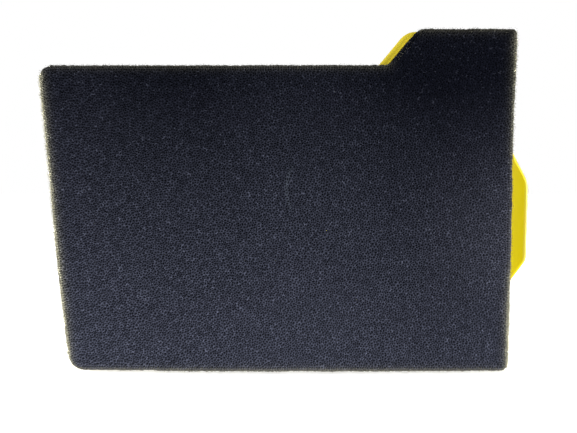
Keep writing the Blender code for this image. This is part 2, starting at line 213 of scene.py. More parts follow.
def foam_corners(settings):
    """Corners of the foam's outline, counter-clockwise from the bottom left."""
    foot_left, foot_right = 6.5 * MM, 3.0 * MM
    step_right, step_left, step_foot = 1.6 * MM, 5.4 * MM, 5.5 * MM
    low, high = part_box(FOAM_NODE)
    top = high.z - settings.step_rise
    step_start = high.x - settings.step_flat
    lean = math.atan(settings.side_lean / (top - low.z))
    left = low.x - settings.left_corner * (math.cos(lean) / (1 - math.sin(lean)) - 1)
    return [
        (Vector((left + settings.side_lean, low.z)), foot_left),
        (Vector((high.x, low.z)), foot_right),
        (Vector((high.x, high.z)), step_right),
        (Vector((step_start, high.z)), step_left),
        (Vector((step_start - settings.step_run, top)), step_foot),
        (Vector((left, top)), settings.left_corner),
    ]


# ---------------------------------------------------------------- mesh helpers


def add_piece(name, points, faces, material, smooth=False):
    """Mesh object from arrays of points and of faces."""
    mesh = bpy.data.meshes.new(name)
    mesh.from_pydata([tuple(point) for point in points], [], [tuple(face) for face in faces])
    mesh.validate()
    mesh.update()
    if smooth:
        mesh.shade_smooth()
    piece = bpy.data.objects.new(name, mesh)
    bpy.context.scene.collection.objects.link(piece)
    mesh.materials.append(material)
    return piece


def set_values(piece, name, values):
    """One number per point, for the material to read."""
    layer = piece.data.attributes.new(name, "FLOAT", "POINT")
    layer.data.foreach_set("value", np.asarray(values, np.float32))


def settle(piece, body, slot, *nodes):
    """Lets a finished piece ride on its body and stand for the nodes it replaces."""
    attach(piece, body)
    if nodes:
        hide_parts(*nodes)
    return piece


# ---------------------------------------------------------------- materials


def tinted(base, red, green, blue):
    """A colour with each of its parts scaled."""
    return (base[0] * red, base[1] * green, base[2] * blue)


class Recipe:
    """A node material under construction, with short calls for the nodes used here."""

    def __init__(self, name):
        self.material = bpy.data.materials.new(name)
        self.material.use_nodes = True
        self.tree = self.material.node_tree
        self.shader = self.tree.nodes["Principled BSDF"]
        self.place = self.add("ShaderNodeTexCoord").outputs["Object"]

    def add(self, kind, **values):
        node = self.tree.nodes.new(kind)
        for key, value in values.items():
            setattr(node, key, value)
        return node

    def link(self, source, target):
        self.tree.links.new(source, target)

    def noise(self, scale, detail=3.0, roughness=0.55, place=None):
        node = self.add("ShaderNodeTexNoise")
        node.inputs["Scale"].default_value = scale
        node.inputs["Detail"].default_value = detail
        node.inputs["Roughness"].default_value = roughness
        self.link(place or self.place, node.inputs["Vector"])
        return node.outputs["Fac"]

    def cells(self, scale):
        node = self.add("ShaderNodeTexVoronoi", feature="F1")
        node.inputs["Scale"].default_value = scale
        self.link(self.place, node.inputs["Vector"])
        return node.outputs["Distance"]

    def axes(self):
        """The place along X, Y and Z."""
        node = self.add("ShaderNodeSeparateXYZ")
        self.link(self.place, node.inputs["Vector"])
        return node.outputs["X"], node.outputs["Y"], node.outputs["Z"]

    def stretched(self, x, y, z):
        node = self.add("ShaderNodeMapping")
        node.inputs["Scale"].default_value = (x, y, z)
        self.link(self.place, node.inputs["Vector"])
        return node.outputs["Vector"]

    def value_of(self, name):
        return self.add("ShaderNodeAttribute", attribute_name=name).outputs["Fac"]

    def ramp(self, source, low, high, to_low=0.0, to_high=1.0):
        node = self.add("ShaderNodeMapRange", clamp=True)
        for key, value in (("From Min", low), ("From Max", high), ("To Min", to_low), ("To Max", to_high)):
            node.inputs[key].default_value = value
        self.link(source, node.inputs["Value"])
        return node.outputs["Result"]

    def math(self, operation, first, second=0.0):
        node = self.add("ShaderNodeMath", operation=operation)
        for socket, value in zip(node.inputs, (first, second)):
            if isinstance(value, (int, float)):
                socket.default_value = value
            else:
                self.link(value, socket)
        return node.outputs["Value"]

    def mix(self, factor, first, second, blend="MIX"):
        node = self.add("ShaderNodeMix", data_type="RGBA", blend_type=blend)
        sockets = (node.inputs["Factor"], node.inputs[6], node.inputs[7])
        for socket, value in zip(sockets, (factor, first, second)):
            if isinstance(value, (int, float)):
                socket.default_value = value
            elif isinstance(value, (tuple, list)):
                socket.default_value = (*value[:3], 1.0)
            else:
                self.link(value, socket)
        return node.outputs[2]

    def bump(self, height, distance, strength, under=None):
        node = self.add("ShaderNodeBump")
        node.inputs["Strength"].default_value = strength
        node.inputs["Distance"].default_value = distance
        self.link(height, node.inputs["Height"])
        if under is not None:
            self.link(under, node.inputs["Normal"])
        return node.outputs["Normal"]

    def finish(self, base, rough, normal=None, metallic=0.0, specular=0.5):
        self.link(base, self.shader.inputs["Base Color"])
        if isinstance(rough, (int, float)):
            self.shader.inputs["Roughness"].default_value = rough
        else:
            self.link(rough, self.shader.inputs["Roughness"])
        if normal is not None:
            self.link(normal, self.shader.inputs["Normal"])
        self.shader.inputs["Metallic"].default_value = metallic
        self.shader.inputs["Specular IOR Level"].default_value = specular
        return self.material


def painted_shade_tint(recipe, settings):
    """Strut colour with painted shade: darkest at the top right and lighter and greyer low down, as light
    falls, with soft vertical columns and streaks of painted shade, and paler on the right around mid-height.
    """
    slope_sideways = 0.06
    column_width, column_start, column_height = 105.0 * MM, 0.48, 7.0 * MM
    streak_height = 18.0 * MM
    palest, darkest = 2.0 * MM, 137.0 * MM
    paler_from, paler_to = 45.0 * MM, 90.0 * MM
    paler_middle, paler_core, paler_rim = 68.0 * MM, 12.0 * MM, 42.0 * MM
    x, _, z = recipe.axes()
    # Painted shade: the colour runs from lit low down to shaded at the top right, shifted by soft vertical
    # columns and streaks of painted shade.
    height = recipe.math("ADD", z, recipe.math("MULTIPLY", x, slope_sideways))
    turn = recipe.math("MULTIPLY", x, math.tau / column_width)
    columns = recipe.math("COSINE", recipe.math("SUBTRACT", turn, column_start))
    height = recipe.math("SUBTRACT", height, recipe.math("MULTIPLY", columns, column_height))
    streaks = recipe.noise(1.0, 2.0, 0.5, recipe.stretched(24.0, 24.0, 5.0))
    drift = recipe.math("MULTIPLY", streaks, streak_height)
    share = recipe.ramp(recipe.math("ADD", height, drift), palest, darkest)
    dye_and_shade = recipe.mix(share, tuple(settings.lit_strut_colour), tuple(settings.shaded_strut_colour))
    # Paler and slightly warmer towards the right, around mid-height.
    right = recipe.ramp(x, paler_from, paler_to)
    off_middle = recipe.math("ABSOLUTE", recipe.math("SUBTRACT", z, paler_middle))
    paler_right = recipe.math("MULTIPLY", right, recipe.ramp(off_middle, paler_core, paler_rim, 1.0, 0.0))
    return recipe.mix(paler_right, dye_and_shade, recipe.mix(1.0, dye_and_shade, (1.75, 1.70, 1.60), "MULTIPLY"))


def charcoal_foam(settings):
    """Dull open-cell foam: strut ridges over cells with painted shade in their pits, painted glints, and
    painted rim light that makes the cut edges paler.
    """
    pit_shade, rubbed_grey = tuple(settings.pit_shade_colour), (0.13, 0.15, 0.19)
    recipe = Recipe("charcoal_foam")
    strut = recipe.value_of("strut")
    tone = recipe.value_of("tone")
    edge = recipe.value_of("edge")
    scuff = recipe.value_of("scuff")
    grain = recipe.noise(2600.0, 2.0)
    dye_and_shade = painted_shade_tint(recipe, settings)
    dull = recipe.mix(1.0, dye_and_shade, (0.6, 0.6, 0.6), "MULTIPLY")
    # Painted glints: a lit copy of the strut colour, raised further, is painted on the struts with the
    # highest random tone.
    lit = recipe.mix(1.0, dye_and_shade, (1.6, 1.6, 1.6), "MULTIPLY")
    painted_glint = recipe.mix(1.0, lit, (0.034, 0.036, 0.045), "ADD")
    varied = recipe.mix(recipe.ramp(tone, 0.0, 0.6), dull, dye_and_shade)
    bright = recipe.mix(recipe.ramp(tone, 0.75, 1.0), varied, painted_glint)
    broken = recipe.math("MULTIPLY", scuff, recipe.ramp(grain, 0.40, 0.60, 0.35, 0.95))
    rubbed = recipe.mix(broken, bright, rubbed_grey)
    # Painted rim light: the cut edges are painted paler by the edge value.
    rim_lit = recipe.mix(edge, rubbed, tuple(settings.rim_light_colour))
    # Painted shade: the cells are painted darker towards their pits, and a fine noise scatters small specks
    # of the same pit shade.
    depth = recipe.math("POWER", strut, 1.65)
    shaded = recipe.mix(depth, pit_shade, rim_lit)
    base = recipe.mix(recipe.ramp(grain, 0.36, 0.64, 0.0, 0.7), shaded, pit_shade)
    return recipe.finish(base, 0.9, recipe.bump(grain, 0.05 * MM, 0.6), specular=0.05)


def cut_strut(settings):
    """Loose strut ends at the cut edges, painted paler and slightly olive towards their tips as painted rim
    light, and painted dark as shade at their roots.
    """
    recipe = Recipe("cut_strut_ends")
    tip = recipe.value_of("strut")
    tone = recipe.noise(700.0, 2.0)
    edge = tuple(settings.rim_light_colour)
    pale = recipe.mix(recipe.ramp(tone, 0.3, 0.7), edge, tinted(edge, 1.15, 1.15, 1.15))
    # Painted rim light: strut ends are painted from the shaded strut colour at their roots to the pale colour
    # at their tips on lit sides.
    base = recipe.mix(tip, tuple(settings.shaded_strut_colour), pale)
    return recipe.finish(base, 0.8, specular=0.1)


def cast_polyurethane(settings):
    """Satin skin of cast polyurethane with a faint orange peel, with painted highlights that make it paler at
    the tab's tip and on the step.
    """
    tip_from, tip_to = 98.4 * MM, 100.9 * MM
    step_from, step_to = 118.0 * MM, 128.0 * MM
    recipe = Recipe("cast_polyurethane")
    resin = tuple(settings.resin_colour)
    cloud = recipe.noise(28.0, 5.0)
    peel = recipe.noise(900.0, 2.0)
    pores = recipe.cells(520.0)
    warm = recipe.mix(recipe.ramp(cloud, 0.3, 0.7), resin, tinted(resin, 0.97, 0.95, 1.0))
    pinholes = recipe.ramp(pores, 0.02, 0.10, 0.25, 0.0)
    base = recipe.mix(pinholes, warm, tinted(resin, 0.55, 0.5, 1.0))
    x, _, z = recipe.axes()
    # Painted highlights: the tab's rounded tip and the step are painted paler where light catches them.
    tip_highlight = recipe.ramp(x, tip_from, tip_to, 0.0, 0.6)
    top_highlight = recipe.ramp(z, step_from, step_to, 0.0, 0.14)
    painted_highlight = recipe.math("MAXIMUM", tip_highlight, top_highlight)
    base = recipe.mix(painted_highlight, base, (resin[0] * 1.05, resin[1] * 1.12, 0.17))
    rough = recipe.ramp(cloud, 0.3, 0.7, 0.36, 0.5)
    normal = recipe.bump(pores, 0.02 * MM, 0.35, recipe.bump(peel, 0.03 * MM, 0.5))
    material = recipe.finish(base, rough, normal, specular=0.04)
    recipe.shader.inputs["Subsurface Weight"].default_value = 0.12
    recipe.shader.inputs["Subsurface Scale"].default_value = 1.5 * MM
    recipe.shader.inputs["Subsurface Radius"].default_value = (1.0, 0.7, 0.1)
    return material


def treated_paper(settings):
    """Resin-treated filter paper with fibres, speckle and slightly browner fold tips."""
    recipe = Recipe("treated_paper")
    paper = tuple(settings.paper_colour)
    fibres = recipe.noise(1.0, 6.0, 0.7, recipe.stretched(900.0, 900.0, 160.0))
    speckle = recipe.cells(700.0)
    fold = recipe.value_of("fold")
    shade = tinted(paper, 0.82, 0.78, 0.68)
    base = recipe.mix(recipe.ramp(fibres, 0.35, 0.65), paper, shade)
    base = recipe.mix(recipe.ramp(fold, 0.0, 1.0, 0.0, 0.28), base, (0.60, 0.46, 0.24))
    base = recipe.mix(recipe.ramp(speckle, 0.03, 0.12, 0.3, 0.0), base, (0.42, 0.32, 0.17))
    return recipe.finish(base, 0.88, recipe.bump(fibres, 0.06 * MM, 0.7), specular=0.25)


def strip_card(settings):
    """Grey-brown card with fibres along its length."""
    recipe = Recipe("strip_card")
    card = tuple(settings.card_colour)
    fibres = recipe.noise(1.0, 5.0, 0.65, recipe.stretched(700.0, 700.0, 90.0))
    base = recipe.mix(recipe.ramp(fibres, 0.3, 0.7), card, tinted(card, 1.3, 1.3, 1.3))
    return recipe.finish(base, 0.85, recipe.bump(fibres, 0.05 * MM, 0.6), specular=0.25)


def set_melt(settings):
    """Translucent set adhesive with flow ripples."""
    recipe = Recipe("set_hot_melt")
    melt = tuple(settings.melt_colour)
    ripple = recipe.noise(260.0, 2.0)
    base = recipe.mix(recipe.ramp(ripple, 0.3, 0.7), melt, tinted(melt, 0.9, 0.85, 0.7))
    rough = recipe.ramp(ripple, 0.3, 0.7, 0.25, 0.42)
    material = recipe.finish(base, rough, recipe.bump(ripple, 0.12 * MM, 0.5))
    recipe.shader.inputs["Subsurface Weight"].default_value = 0.25
    recipe.shader.inputs["Subsurface Scale"].default_value = 1.0 * MM
    return material


def zinc_wire():
    """Zinc-coated wire with drawing lines and dull oxide patches."""
    recipe = Recipe("zinc_wire")
    oxide = recipe.noise(140.0, 4.0)
    base = recipe.mix(recipe.ramp(oxide, 0.4, 0.65), (0.62, 0.63, 0.65), (0.40, 0.41, 0.43))
    rough = recipe.ramp(oxide, 0.35, 0.7, 0.28, 0.5)
    return recipe.finish(base, rough, recipe.bump(recipe.noise(1800.0, 2.0), 0.01 * MM, 0.5), metallic=1.0)


def pale_floor():
    """Matt white paper floor, softly glowing so that it reads as a light table."""
    recipe = Recipe("pale_floor")
    mottle = recipe.noise(3.0, 3.0)
    base = recipe.mix(recipe.ramp(mottle, 0.3, 0.7), (0.86, 0.86, 0.86), (0.90, 0.90, 0.90))
    material = recipe.finish(base, 0.9, specular=0.1)
    recipe.shader.inputs["Emission Color"].default_value = (1.0, 1.0, 1.0, 1.0)
    recipe.shader.inputs["Emission Strength"].default_value = 0.86
    return material


# ---------------------------------------------------------------- foam


def band_profile(settings):
    """Rings of the pad's side as (inset, y): relaxed front edge, slightly waisted side, back edge."""
    low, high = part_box(FOAM_NODE)
    front_round, back_round, waist = settings.edge_round, 0.8 * MM, 0.35 * MM
    rings = []
    for angle in np.linspace(0, math.pi / 2, 4):
        rings.append((front_round * (1 - math.sin(angle)), low.y + front_round * (1 - math.cos(angle))))
    start, end = low.y + front_round, high.y - back_round
    steps = max(2, round((end - start) / (settings.cell_pitch * 0.87)))
    for step in range(1, steps):
        share = step / steps
        rings.append((waist * math.sin(math.pi * share), start + (end - start) * share))
    rings.append((0.0, end))
    rings.append((back_round, high.y))
    return rings


def scattered(outline, pitch, rng):
    """Border points followed by irregularly packed points inside them, as triangles."""
    grid = packed(outline.min(axis=0), outline.max(axis=0), pitch, rng)
    grid = grid[inside(outline, grid, 0.6 * pitch)]
    points = [Vector(point) for point in np.vstack([outline, grid])]
    border = list(range(len(outline)))
    made = delaunay_2d_cdt(points, [], [border], 1, 1e-9)
    return np.array([tuple(point) for point in made[0]]), np.array(made[2])


def packed(low, high, pitch, rng):
    """Random points that keep a distance of about 0.62 to 0.95 pitches from each other."""
    cell = pitch * 0.95
    tries = rng.uniform(low, high, (int(9 * np.prod((high - low) / pitch)), 2))
    reaches = pitch * rng.uniform(0.62, 0.95, len(tries))
    places = np.floor((tries - low) / cell).astype(int)
    taken = {}
    kept = []
    for (x, z), reach, (column, row) in zip(tries.tolist(), reaches.tolist(), places.tolist()):
        near = [
            point
            for i in (column - 1, column, column + 1)
            for j in (row - 1, row, row + 1)
            for point in taken.get((i, j), ())
        ]
        if all((x - other[0]) ** 2 + (z - other[1]) ** 2 > reach * reach for other in near):
            taken.setdefault((column, row), []).append((x, z))
            kept.append((x, z))
    return np.array(kept)


def inside(outline, points, margin):
    """Which points lie inside the outline and further than a margin from it."""
    keep = np.zeros(len(points), bool)
    nearest = np.full(len(points), np.inf)
    x, z = points[:, 0], points[:, 1]
    for start, end in zip(outline, np.roll(outline, -1, axis=0)):
        crosses = (start[1] > z) != (end[1] > z)
        rise = end[1] - start[1] if end[1] != start[1] else 1.0
        keep ^= crosses & (x < (end[0] - start[0]) * (z - start[1]) / rise + start[0])
        way = end - start
        share = np.clip(((points - start) @ way) / (way @ way), 0, 1)
        nearest = np.minimum(nearest, np.linalg.norm(points - start - share[:, None] * way, axis=1))
    return keep & (nearest > margin)


def side_rings(settings, rng):
    """Rings of points from the pad's front edge to its back, each half a step on from the last."""
    corners = foam_corners(settings)
    profile = band_profile(settings)
    count = round(perimeter(rounded(corners)) / settings.cell_pitch)
    stray = settings.cell_pitch * np.array([0.6, 1.0, 0.6])
    rings = []
    for number, (inset, y) in enumerate(profile):
        shift = 0.5 * (number % 2)
        flat = evenly_spaced(rounded(offset_corners(corners, settings.swell - inset)), count, shift)
        ring = np.stack([flat[:, 0], np.full(count, y), flat[:, 1]], axis=1)
        if 0 < number < len(profile) - 1:
            ring += rng.uniform(-0.22, 0.22, ring.shape) * stray
        rings.append(ring)
    return rings


def side_triangles(ring_count, count):
    """Triangles between each ring and the next, which lean the other way at every second ring."""
    triangles = []
    for number in range(ring_count - 1):
        base = number * count
        for index in range(count):
            ahead = (index + 1) % count
            a, a_next = base + index, base + ahead
            b, b_next = base + count + index, base + count + ahead
            if number % 2 == 0:
                triangles += [(a, b, a_next), (b, b_next, a_next)]
            else:
                triangles += [(a, b, b_next), (a, b_next, a_next)]
    return triangles


def end_cap(ring, ring_start, next_free, pitch, flip, rng):
    """Points and triangles that close one end of the side, numbered for the whole skin."""
    count = len(ring)
    flat, faces = scattered(ring[:, [0, 2]], pitch, rng)
    extra = flat[count:]
    points = np.stack([extra[:, 0], np.full(len(extra), ring[0, 1]), extra[:, 1]], axis=1)
    lookup = np.concatenate([np.arange(count) + ring_start, np.arange(len(extra)) + next_free])
    a, b, c = (flat[faces[:, corner]] for corner in range(3))
    turn = (b[:, 0] - a[:, 0]) * (c[:, 1] - a[:, 1]) - (b[:, 1] - a[:, 1]) * (c[:, 0] - a[:, 0])
    faces = np.where(((turn > 0) == flip)[:, None], faces[:, ::-1], faces)
    return points, [tuple(face) for face in lookup[faces]]


def pad_skin(settings, rng):
    """Closed triangle skin of the pad: points, triangles wound outwards, and how many points are its side."""
    rings = side_rings(settings, rng)
    count = len(rings[0])
    side_points = len(rings) * count
    points = list(rings)
    triangles = side_triangles(len(rings), count)
    next_free = side_points
    for ring, ring_start, pitch, flip in (
        (rings[0], 0, settings.cell_pitch, False),
        (rings[-1], side_points - count, settings.back_pitch, True),
    ):
        extra, faces = end_cap(ring, ring_start, next_free, pitch, flip, rng)
        points.append(extra)
        triangles += faces
        next_free += len(extra)
    return np.vstack(points), np.array(triangles), side_points


def soft_shape(points, settings):
    """Pad with a bowed foot, sides that stray from straight, and the gentle waves of a die-cut sheet."""
    half_length, half_width = 100.0 * MM, 90.0 * MM
    foot_height, bow_middle = 25.0 * MM, 15.0 * MM
    left_bulge, right_bulge, bulge_reach = 45.0 * MM, 90.0 * MM, 22.0 * MM
    face_wave, side_wave = 0.22 * MM, 0.18 * MM
    moved = points * np.array([1.0 + settings.spread, 1.0, 1.0])
    near_foot = np.clip(1 - (points[:, 2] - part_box(FOAM_NODE)[0].z) / foot_height, 0, 1)
    moved[:, 2] += near_foot * settings.bow * (((points[:, 0] - bow_middle) / half_length) ** 2 - 0.15)
    bulge_height = np.where(points[:, 0] < 0, left_bulge, right_bulge)
    bulge = np.exp(-(((points[:, 2] - bulge_height) / bulge_reach) ** 2)) * np.abs(points[:, 0]) / half_width
    moved[:, 0] -= settings.bulge * bulge
    for index, point in enumerate(points):
        slow, quick = Vector(point) * 22.0, Vector(point) * 90.0
        moved[index, 0] += side_wave * noise.noise(quick + Vector((1.0, 7.0, 3.0)))
        moved[index, 1] += face_wave * noise.noise(slow)
        moved[index, 2] += side_wave * noise.noise(quick + Vector((5.0, 1.0, 2.0)))
    return moved


def open_cells(points, triangles, depth, rng):
    """Cells around each point: a ridge through the triangle centres and a pit under the point."""
    corners = points[triangles]
    flat_normals = np.cross(corners[:, 1] - corners[:, 0], corners[:, 2] - corners[:, 0])
    normals = np.zeros_like(points)
    for corner in range(3):
        np.add.at(normals, triangles[:, corner], flat_normals)
    normals /= np.linalg.norm(normals, axis=1)[:, None] + 1e-30
    ridge_normals = flat_normals / (np.linalg.norm(flat_normals, axis=1)[:, None] + 1e-30)
    ridges = corners.mean(axis=1) + ridge_normals * rng.uniform(-0.16, 0.04, (len(triangles), 1)) * MM
    pits = points - normals * depth[:, None] * rng.uniform(0.55, 1.15, (len(points), 1))
    count = len(points)
    owner = np.arange(len(triangles))
    start = np.concatenate([triangles[:, corner] for corner in range(3)])
    end = np.concatenate([triangles[:, (corner + 1) % 3] for corner in range(3)])
    owner = np.concatenate([owner] * 3)
    keys, twins = start * count + end, end * count + start
    order = np.argsort(keys)
    found = order[np.searchsorted(keys[order], twins)]
    facets = np.stack([owner[found], owner, len(triangles) + start], axis=1)
    return np.vstack([ridges, pits]), facets, ridges, ridge_normals


def make_foam_pad(settings):
    """Foam pad, with the places and directions of the ridges along its cut sides."""
    rng = np.random.default_rng(settings.seed)
    points, triangles, side_points = pad_skin(settings, rng)
    on_back = points[:, 1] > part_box(FOAM_NODE)[1].y - 0.1 * MM
    depth = settings.cell_depth * np.where(on_back, settings.back_share, 1.0)
    points = soft_shape(points, settings)
    shape, facets, ridges, ridge_normals = open_cells(points, triangles, depth, rng)
    pad = add_piece("foam_pad", shape, facets, charcoal_foam(settings))
    strut = np.concatenate([np.ones(len(ridges)), on_back * (1 - settings.back_share)])
    set_values(pad, "strut", strut)
    set_values(pad, "tone", rng.random(len(shape)))
    # The edge value is the painted rim light along the outline.
    set_values(pad, "edge", painted_rim_light(shape, settings))
    set_values(pad, "scuff", scuff_mark(shape, settings))
    on_side = (triangles < side_points).all(axis=1)
    return pad, ridges[on_side], ridge_normals[on_side]


def scuff_mark(shape, settings):
    """Faint pale rub mark near the middle of the face: part of a circle, broken up along its length."""
    centre_x, centre_z, radius = 17.3 * MM, 76.8 * MM, 18.8 * MM
    middle_angle, half_sweep, line_width = 1.0, 31.0, 0.5 * MM
    across, up = shape[:, 0] - centre_x, shape[:, 2] - centre_z
    off_line = np.abs(np.hypot(across, up) - radius)
    angle = np.degrees(np.arctan2(up, -across))
    stretch = np.clip(1 - np.abs(angle - middle_angle) / half_sweep, 0, 1)
    on_face = shape[:, 1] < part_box(FOAM_NODE)[0].y + 2 * settings.cell_depth
    return on_face * np.minimum(stretch * 2.5, 1.0) * np.exp(-((off_line / line_width) ** 2))


def rim_light_by_side(normal_x, normal_z, height):
    """How strongly a cut side is painted paler as painted rim light: most on the left, hardly at all on top
    or beside the tab.
    """
    tab_middle, tab_half, tab_fade = 67.0 * MM, 25.0 * MM, 7.0 * MM
    low_end, low_fade = 45.0 * MM, 20.0 * MM
    side = 1.0
    if normal_x > 0:
        tab_shaded = np.clip((tab_half - np.abs(height - tab_middle)) / tab_fade, 0, 1)
        low = np.clip((low_end - height) / low_fade, 0, 1)
        side = (0.5 + 0.6 * low) * (1 - 0.7 * tab_shaded)
    upward = np.clip((0.6 - normal_z) / 0.5, 0, 1) + 0.2 * np.clip((normal_z - 0.8) / 0.15, 0, 1)
    downward = np.clip(-normal_z, 0, 1)
    return upward * (side + (0.5 - side) * downward)


def front_share(behind):
    """The painted rim light is strongest round the front edge and mostly gone a few millimetres behind it."""
    return 0.12 + 0.88 * np.clip((5.0 * MM - behind) / (2.5 * MM), 0, 1)


def painted_rim_light(shape, settings):
    """Painted rim light: how much paler each point is painted near the outline, fading inwards over a
    millimetre or two.
    """
    outline = np.array([tuple(point) for point in rounded(foam_corners(settings))])
    flat = shape[:, [0, 2]]
    rim_light = np.zeros(len(flat))
    for start, end in zip(outline, np.roll(outline, -1, axis=0)):
        way = end - start
        run = np.linalg.norm(way)
        share = np.clip(((flat - start) @ way) / run**2, 0, 1)
        apart = np.linalg.norm(flat - start - share[:, None] * way, axis=1)
        side = rim_light_by_side(way[1] / run, -way[0] / run, flat[:, 1])
        rim_light = np.maximum(rim_light, side * np.exp(-apart / (1.0 * MM)))
    return rim_light * front_share(shape[:, 1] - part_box(FOAM_NODE)[0].y)


def add_strut(points, faces, start, lean, reach, thick):
    """Three-sided tapered strut; gives back how far along its reach each of its points is."""
    side = lean.orthogonal().normalized()
    other = lean.cross(side)
    base = len(points)
    shares = []
    for share, width in ((-0.4, 1.0), (1.0, 0.5)):
        for turn in range(3):
            angle = turn * math.tau / 3
            spoke = side * math.cos(angle) + other * math.sin(angle)
            points.append(start + lean * reach * share + spoke * thick * width)
            shares.append(max(share, 0.0))
    for turn in range(3):
        ahead = (turn + 1) % 3
        faces.append((base + turn, base + ahead, base + 3 + ahead, base + 3 + turn))
    faces += [(base + 2, base + 1, base), (base + 3, base + 4, base + 5)]
    return shares


def make_strands(settings, roots, directions):
    """Tapered strut ends that stand out from the pad's cut sides, most of them round the front edge."""
    front_band = 2.5 * MM
    rng = np.random.default_rng(settings.seed + 1)
    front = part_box(FOAM_NODE)[0].y
    points, faces, tips = [], [], []
    for root, direction in zip(roots, directions):
        outwards = math.hypot(direction[0], direction[2])
        rim_light = rim_light_by_side(direction[0] / outwards, direction[2] / outwards, root[2])
        rim_light = float(rim_light * front_share(root[1] - front))
        # More and longer strut ends where the painted rim light is strong.
        for _ in range(round(1 + 4 * rim_light) if root[1] < front + front_band else 1):
            lean = Vector(direction) + Vector(rng.uniform(-0.9, 0.9, 3))
            lean.normalize()
            reach = settings.strand_length * rng.uniform(0.3, 1.0) * (0.5 + 0.5 * rim_light)
            thick = rng.uniform(0.045, 0.075) * MM
            start = Vector(root) + Vector(rng.uniform(-0.5, 0.5, 3)) * settings.cell_pitch
            shares = add_strut(points, faces, start, lean, reach, thick)
            tips += [share * rim_light for share in shares]
    strands = add_piece("foam_strut_ends", points, faces, cut_strut(settings))
    set_values(strands, "strut", tips)
    return strands


# ---------------------------------------------------------------- housing


def make_housing(settings):
    """Cast rim with its moulded edges softened, from the frame's own shape."""
    bm = bmesh.new()
    bm.from_mesh(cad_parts[HOUSING_NODE].data)
    bmesh.ops.remove_doubles(bm, verts=bm.verts, dist=0.001 * MM)
    bmesh.ops.dissolve_limit(bm, angle_limit=math.radians(0.5), verts=bm.verts, edges=bm.edges)
    mesh = bpy.data.meshes.new("cast_housing")
    bm.to_mesh(mesh)
    bm.free()
    mesh.materials.clear()
    mesh.materials.append(cast_polyurethane(settings))
    mesh.polygons.foreach_set("material_index", [0] * len(mesh.polygons))
    housing = bpy.data.objects.new("cast_housing", mesh)
    bpy.context.scene.collection.objects.link(housing)
    bevel = housing.modifiers.new("softened_edges", "BEVEL")
    bevel.width = settings.edge_soften
    bevel.segments = 3
    bevel.limit_method = "ANGLE"
    bevel.angle_limit = math.radians(40)
    mesh.shade_smooth()
    mesh.set_sharp_from_angle(angle=math.radians(60))
    return housing


# ---------------------------------------------------------------- paper


def pleat_line(settings, first, last, front, back):
    """Middle line of the folded sheet as (x, y, foldedness)."""
    folds = 2 * round((last - first) / settings.pleat_pitch)
    half = (last - first) / folds
    line = [(first, front + half * 0.3, 0.0)]
    for fold in range(1, folds):
        x, way = first + fold * half, 1 if fold % 2 == 0 else -1
        tip = front if fold % 2 == 0 else back
        for across, drop, bend in ((0.34, 0.35, 0.5), (0.17, 0.06, 1.0)):
            line.append((x - across * half, tip + way * drop * half, bend))
        for across, drop, bend in ((0.17, 0.06, 1.0), (0.34, 0.35, 0.5)):
            line.append((x + across * half, tip + way * drop * half, bend))
    line.append((last, front + half * 0.3, 0.0))
    return line


def make_pleats(settings):
    """Folded sheet whose tips wander a little along their length."""
    low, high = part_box(PAPER_NODE)
    thick, tip_room = settings.sheet / 2, 0.15 * MM
    line = pleat_line(settings, low.x + thick, high.x - thick, low.y + tip_room, high.y - tip_room)
    columns, rows = len(line), 36
    points, folds = [], []
    for row in range(rows + 1):
        z = low.z + (high.z - low.z) * row / rows
        for x, y, bend in line:
            place = Vector((x * 160.0, 0.0, z * 45.0))
            stray = settings.wander * noise.noise(place) * min(1.0, 5 * row / rows, 5 * (rows - row) / rows)
            dip = 0.25 * MM * bend * (noise.noise(place * 1.7) - 0.4)
            points.append((x + stray, y + (dip if y > (low.y + high.y) / 2 else -dip), z))
            folds.append(bend)
    faces = []
    for row in range(rows):
        for column in range(columns - 1):
            a = row * columns + column
            faces.append((a, a + 1, a + 1 + columns, a + columns))
    pleats = add_piece("paper_pleats", points, faces, treated_paper(settings), smooth=True)
    set_values(pleats, "fold", folds)
    skin = pleats.modifiers.new("sheet", "SOLIDIFY")
    skin.thickness = settings.sheet * 0.6
    skin.offset = 0.0
    return pleats


# ---------------------------------------------------------------- hot melt and screen


def make_melt_string(node, settings, material, seed):
    """Set string that sits on the pleat tips and sags a little between them."""
    low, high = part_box(node)
    towards_front = low.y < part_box(PAPER_NODE)[0].y
    foot, way = (high.y, -1) if towards_front else (low.y, 1)
    middle = (low.z + high.z) / 2
    stations, sides = 170, 8
    points, faces = [], []
    for station in range(stations + 1):
        share = station / stations
        x = low.x + (high.x - low.x) * share
        drift = 0.6 * MM * noise.noise(Vector((x * 60.0, seed * 3.1, 0.0)))
        swell = 1.0 + 0.22 * noise.noise(Vector((x * 420.0, seed * 1.7, 4.0)))
        swell *= min(1.0, 0.35 + 9 * share, 0.35 + 9 * (1 - share))
        for side in range(sides):
            angle = math.tau * side / sides
            z = middle + drift + settings.width / 2 * swell * math.cos(angle)
            rise = (high.y - low.y) * (0.42 + 0.5 * math.sin(angle) * swell)
            points.append((x, foot + way * rise, z))
    for station in range(stations):
        for side in range(sides):
            ahead = (side + 1) % sides
            a, b = station * sides + side, station * sides + ahead
            faces.append((a, b, b + sides, a + sides))
    faces += [tuple(range(sides))[::-1], tuple(stations * sides + side for side in range(sides))]
    string = add_piece(node.replace("separator_bead", "melt_string"), points, faces, material, smooth=True)
    string.data.set_sharp_from_angle(angle=math.radians(60))
    bm = bmesh.new()
    bm.from_mesh(string.data)
    bmesh.ops.recalc_face_normals(bm, faces=bm.faces)
    bm.to_mesh(string.data)
    bm.free()
    return string


